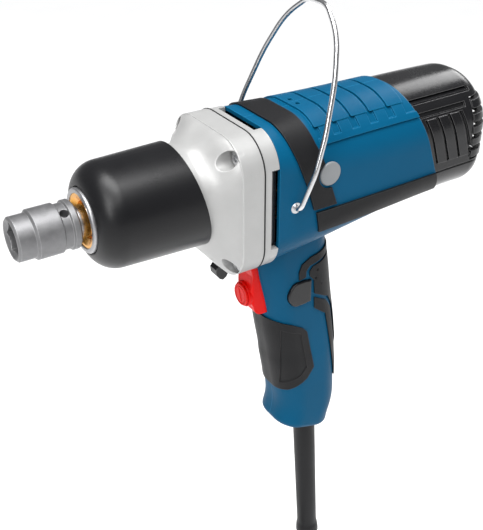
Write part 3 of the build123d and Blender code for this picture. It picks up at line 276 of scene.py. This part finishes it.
# ---------------------------------------------------------------- making of the mesh pieces
def skinned(name, rings, finish, replaced, body="tool"):
    """A smooth body through rings of points, closed at both ends, in place of a plain node."""
    mesh = bpy.data.meshes.new(name)
    shape = bmesh.new()
    loops = [[shape.verts.new(spot) for spot in ring] for ring in rings]
    for here, there in zip(loops, loops[1:]):
        for index in range(len(here)):
            after = (index + 1) % len(here)
            shape.faces.new((here[index], here[after], there[after], there[index]))
    shape.faces.new(loops[0][::-1])
    shape.faces.new(loops[-1])
    bmesh.ops.recalc_face_normals(shape, faces=shape.faces)
    for face in shape.faces:
        face.smooth = True
    shape.to_mesh(mesh)
    shape.free()
    made = placed(name, mesh)
    mesh.materials.append(finish)
    rounder = made.modifiers.new("rounder", "SUBSURF")
    rounder.levels = 1
    rounder.render_levels = 1
    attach(made, body)
    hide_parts(replaced)
    return made


def tube_line(name, radius, roundness, finish):
    """A curve with no points yet, drawn as a round tube of a radius in mm."""
    made = bpy.data.curves.new(name, "CURVE")
    made.dimensions = "3D"
    made.bevel_depth = radius * MM
    made.bevel_resolution = roundness
    made.materials.append(finish)
    return made


def ring_round(middle, along, radius, count=40):
    """Points of a circle across a direction."""
    first = along.orthogonal().normalized()
    second = along.cross(first).normalized()
    ring = []
    for k in range(count):
        turn = 2 * math.pi * k / count
        ring.append(middle + radius * (first * math.cos(turn) + second * math.sin(turn)))
    return ring


def ring_boxy(middle, half_x, half_y, power, count=48):
    """Points of a level rounded oblong; a higher power is squarer."""
    ring = []
    for k in range(count):
        c, d = math.cos(2 * math.pi * k / count), math.sin(2 * math.pi * k / count)
        ring.append(middle + Vector((half_x * math.copysign(abs(c) ** (2 / power), c),
                                     half_y * math.copysign(abs(d) ** (2 / power), d), 0)))
    return ring


# ---------------------------------------------------------------- sleeve at the foot of the handle
# distance down the sleeve and radius: collar, long taper, swollen lip, mouth round the cord
SLEEVE_PROFILE = [(0.0, 9.8), (0.4, 10.5), (3.9, 10.5), (4.3, 10.1), (4.6, 8.7), (5.4, 8.5),
                  (30, 8.4), (60, 8.25), (90, 8.1), (120, 8.0), (140, 7.9), (143, 7.95),
                  (144.6, 8.5), (146, 8.7), (151.5, 9.2), (153.2, 9.2), (154, 8.6), (154, 6.2),
                  (153.6, 5.2), (151, 4.2), (149.5, 3.9)]
sleeve_down = Vector((math.sin(SLEEVE_LEAN), 0, -math.cos(SLEEVE_LEAN)))
sleeve_rings = [ring_round(at(*SLEEVE_TOP) + sleeve_down * (d * MM), sleeve_down, r * MM)
                for d, r in SLEEVE_PROFILE]
skinned("cord_sleeve", sleeve_rings, RUBBER, "strain_relief")

# ---------------------------------------------------------------- tie round the coiled lead
TIE_X, TIE_Z = COIL_X, COIL_Z + COIL_R
TIE_HALF, TIE_THICK, TIE_R = 7.0, 1.2, 17.75
TIE_EDGE, TIE_CROWN = 0.3, 0.06
TIE_STEP, TIE_STEPS, TIE_START = 4.0, 100, 160      # degrees, and how many of them
LAP_FROM, LAP_OVER, LAP_LIFT = 325, 30, 1.28        # where the end climbs on the start
tie_edge = [(-TIE_HALF, TIE_EDGE), (-TIE_HALF + TIE_EDGE, 0), (0, 0),
            (TIE_HALF - TIE_EDGE, 0), (TIE_HALF, TIE_EDGE), (TIE_HALF, TIE_THICK - TIE_EDGE),
            (TIE_HALF - 2 * TIE_EDGE, TIE_THICK), (0, TIE_THICK - TIE_CROWN),
            (-TIE_HALF + 2 * TIE_EDGE, TIE_THICK), (-TIE_HALF, TIE_THICK - TIE_EDGE)]
tie_rings = []
for step in range(TIE_STEPS + 1):
    turn = TIE_STEP * step
    share = min(1.0, max(0.0, (turn - LAP_FROM) / LAP_OVER))
    r_in = TIE_R + LAP_LIFT * share * share * (3 - 2 * share)
    facing = math.radians(turn + TIE_START)
    out = Vector((0, math.sin(facing), math.cos(facing)))
    tie_rings.append([at(TIE_X + along, 0, TIE_Z) + out * ((r_in + up) * MM)
                      for along, up in tie_edge])
tie = skinned("hook_loop_tie", tie_rings, WEBBING, "cord_tie")

# ---------------------------------------------------------------- moulded plug
# distance down the plug, half width, half depth, squareness: neck with its grooves, shoulder,
# grip ribs, flange, and the face that the pins stand in
GRIP_RIBS, GRIP_RIB_TOP, GRIP_RIB_PITCH = 4, 36, 4.2
PLUG_NECK = [(0.0, 4.6, 4.6, 2.2), (0.6, 5.4, 5.4, 2.2), (9, 6.0, 5.8, 2.2), (10, 5.2, 5.2, 2.2),
             (11.5, 5.2, 5.2, 2.2), (12.5, 6.3, 6.1, 2.2), (14, 6.4, 6.2, 2.2),
             (15, 5.5, 5.4, 2.2), (16.4, 5.5, 5.4, 2.2), (17.4, 6.7, 6.4, 2.3),
             (19, 7.6, 7.0, 2.4), (22, 11.6, 8.8, 2.7), (28, 14.6, 10.0, 3.0),
             (33, 16.6, 10.9, 3.2)]
PLUG_FLANGE = [(54, 17.5, 12.7, 3.6), (56.8, 17.6, 12.9, 3.6), (57.8, 17.2, 12.5, 3.6),
               (58, 16.6, 11.9, 3.6), (58, 8.0, 5.0, 3.0)]
plug_ribs = []
for k in range(GRIP_RIBS):
    base = GRIP_RIB_TOP + GRIP_RIB_PITCH * k
    plug_ribs += [(base, 16.9, 11.4 + 0.2 * k, 3.4), (base + 0.7, 15.9, 10.5 + 0.2 * k, 3.4),
                  (base + 2.2, 15.9, 10.5 + 0.2 * k, 3.4), (base + 2.9, 16.9, 11.5 + 0.2 * k, 3.4)]
plug_rings = [ring_boxy(at(*PLUG_TOP) - Vector((0, 0, d * MM)), hx * MM, hy * MM, power)
              for d, hx, hy, power in PLUG_NECK + plug_ribs + PLUG_FLANGE]
plug = skinned("moulded_plug", plug_rings, RUBBER, "plug_body")

# ---------------------------------------------------------------- hammer spring, a fixed coil with closed end turns
SPRING_X, SPRING_END_X = 56.7, 82.4
SPRING_R, SPRING_WIRE_R = 16.1, 1.7
SPRING_TURNS, END_TURNS, END_PITCH = 4.5, 0.75, 3.6
STEPS_PER_TURN, WIRE_SIDES = 36, 12
spring_run = SPRING_END_X - SPRING_X - 2 * SPRING_WIRE_R
middle_pitch = (spring_run - 2 * END_TURNS * END_PITCH) / (SPRING_TURNS - 2 * END_TURNS)
spring_rings = []
for step in range(int(SPRING_TURNS * STEPS_PER_TURN) + 1):
    wound = step / STEPS_PER_TURN
    closed = min(wound, END_TURNS) + max(0.0, wound - (SPRING_TURNS - END_TURNS))
    middle_x = SPRING_X + SPRING_WIRE_R + closed * END_PITCH + (wound - closed) * middle_pitch
    angle = 2 * math.pi * wound
    rise = middle_pitch / (2 * math.pi * SPRING_R)
    radial = Vector((0, math.cos(angle), math.sin(angle)))
    tangent = Vector((rise, -math.sin(angle), math.cos(angle))).normalized()
    across = tangent.cross(radial).normalized()
    middle = at(middle_x, 0, 0) + radial * (SPRING_R * MM)
    ring = []
    for k in range(WIRE_SIDES):
        turn = 2 * math.pi * k / WIRE_SIDES
        ring.append(middle + SPRING_WIRE_R * MM * (radial * math.cos(turn) + across * math.sin(turn)))
    spring_rings.append(ring)
coil_spring = skinned("hammer_coil_spring", spring_rings, SPRING, "hammer_spring", "camshaft")
coil_spring.modifiers.clear()
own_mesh(coil_spring)

# ---------------------------------------------------------------- dark ring of painted shade in the seam between case and gear cover
SEAM_X, SEAM_Z = 101.6, -6.0
SEAM_W, SEAM_H, SEAM_CORNER = 80.0, 90.0, 22.0
SEAM_WIRE_R = 0.45
CORNER_STEPS = 12
CORNERS = ((1, 1), (-1, 1), (-1, -1), (1, -1))
seam_spots = []
for corner, (hand_y, hand_z) in enumerate(CORNERS):
    for step in range(CORNER_STEPS + 1):
        turn = math.radians(90 * corner + 90 / CORNER_STEPS * step)
        middle_y = hand_y * (SEAM_W / 2 - SEAM_CORNER)
        middle_z = hand_z * (SEAM_H / 2 - SEAM_CORNER)
        seam_spots.append(at(SEAM_X, middle_y + SEAM_CORNER * math.cos(turn),
                             SEAM_Z + middle_z + SEAM_CORNER * math.sin(turn)))
# a dark tube in the rubber finish, painted shade in the seam between case and gear cover
seam_line = tube_line("case_seam_shade", SEAM_WIRE_R, 3, RUBBER)
seam = seam_line.splines.new("POLY")
seam.points.add(len(seam_spots) - 1)
for point, spot in zip(seam.points, seam_spots):
    point.co = (*spot, 1)
seam.use_cyclic_u = True
seam_shade_ring = placed("case_seam_shade", seam_line)
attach(seam_shade_ring, "tool")

# ---------------------------------------------------------------- mains lead
STRAND = 7.72                           # spacing of neighbouring turns
POINTS_PER_TURN = 20
STEP_FROM, STEP_OVER = 200.0, 140.0     # degrees of a turn where it steps across the bundle
LAST_BIT = 1e-6
BELOW_SLEEVE = [(174.306, 0, -343.661), (177.206, 0, -387.661), (189.0, 0, -424)]
DOWN_TO_PLUG = [(184.5, -11.5, -474), (180.5, -11, -506), (182.906, -11, -542), PLUG_TOP]


def hexagon(reach, first):
    """Six places round the middle of the bundle, the first at that many degrees."""
    return [(reach * math.cos(math.radians(first + 60 * k)),
             reach * math.sin(math.radians(first + 60 * k))) for k in range(6)]


outer = hexagon(STRAND * math.sqrt(3), 0)
inner = hexagon(STRAND, 30)
turn_places = [outer[0], inner[0], outer[1], inner[1], outer[2], inner[2], outer[3], inner[3],
               outer[4], inner[4], (0.0, 0.0), inner[5], outer[5]]
TURNS = len(turn_places) - 1


def turn_place(angle):
    """Offset of the cord from the middle of the bundle, after that many degrees of winding."""
    turn_index, along = divmod(angle, 360)
    share = min(1.0, max(0.0, (along - STEP_FROM) / STEP_OVER))
    share = share ** 3 * (share * (share * 6 - 15) + 10)
    here = turn_places[int(turn_index)]
    there = turn_places[min(int(turn_index) + 1, TURNS)]
    return [a + (b - a) * share for a, b in zip(here, there)]


route = list(BELOW_SLEEVE)
for index in range(TURNS * POINTS_PER_TURN + 1):
    degrees = index * 360 / POINTS_PER_TURN
    radial, across = turn_place(min(degrees, TURNS * 360 - LAST_BIT))
    reach = (COIL_R + radial) / math.cos(math.pi / POINTS_PER_TURN)
    route.append((COIL_X + reach * math.cos(math.radians(degrees)), across,
                  COIL_Z - reach * math.sin(math.radians(degrees))))
route += DOWN_TO_PLUG
line = tube_line("mains_cord", CORD_D / 2, 6, JACKET)
line.resolution_u = 5
line.use_fill_caps = True
spline = line.splines.new("NURBS")
spline.points.add(len(route) - 1)
for point, spot in zip(spline.points, route):
    point.co = (*at(*spot), 1)
spline.order_u = 3
spline.use_endpoint_u = True
cord = placed("mains_cord", line)
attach(cord, "tool")
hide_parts("cord_lead", "cord_coil", "cord_tail")


# ---------------------------------------------------------------- stage and light, in metres
def area_light(name, spot, target, size, energy):
    """A soft box that faces a point."""
    lamp = bpy.data.lights.new(name, "AREA")
    lamp.shape = "RECTANGLE"
    lamp.size, lamp.size_y = size
    lamp.energy = energy
    box = placed(name, lamp)
    box.location = spot
    box.rotation_mode = "QUATERNION"
    box.rotation_quaternion = (Vector(target) - Vector(spot)).to_track_quat("-Z", "Y")


area_light("top_box", spot=(-0.15, -0.1, 1.2), target=(0, 0, 0.1), size=(0.9, 0.5), energy=11)
area_light("front_box", spot=(-1.0, -0.6, 0.75), target=(-0.05, 0, 0.1), size=(0.4, 0.7), energy=6)
area_light("rear_box", spot=(0.9, 0.35, 0.75), target=(0.05, 0, 0.1), size=(0.4, 0.7), energy=5)

SHEET_STRENGTH, SHEET_ANGLE, SHEET_TILT = 2.7, 70, (14, -12, 0)     # the angles in degrees
sun = bpy.data.lights.new("sky_sheet", "SUN")
sun.energy = SHEET_STRENGTH
sun.angle = math.radians(SHEET_ANGLE)
sky = placed("sky_sheet", sun)
sky.rotation_euler = [math.radians(turn) for turn in SHEET_TILT]

WORLD_COLOUR, WORLD_STRENGTH = (0.97, 0.98, 1.0, 1), 0.22
world = bpy.data.worlds.new("studio")
world.use_nodes = True
world.node_tree.nodes["Background"].inputs["Color"].default_value = WORLD_COLOUR
world.node_tree.nodes["Background"].inputs["Strength"].default_value = WORLD_STRENGTH
bpy.context.scene.world = world

FLOOR_HALF, FLOOR_GAP = 12.0, 0.5 * MM
floor_mesh = bpy.data.meshes.new("floor")
floor_shape = bmesh.new()
bmesh.ops.create_grid(floor_shape, x_segments=2, y_segments=2, size=FLOOR_HALF)
floor_shape.to_mesh(floor_mesh)
floor_shape.free()
floor = placed("floor", floor_mesh)
floor.location = (0, 0, CAD_BOX[0].z - FLOOR_GAP)
floor_mesh.materials.append(PAPER)
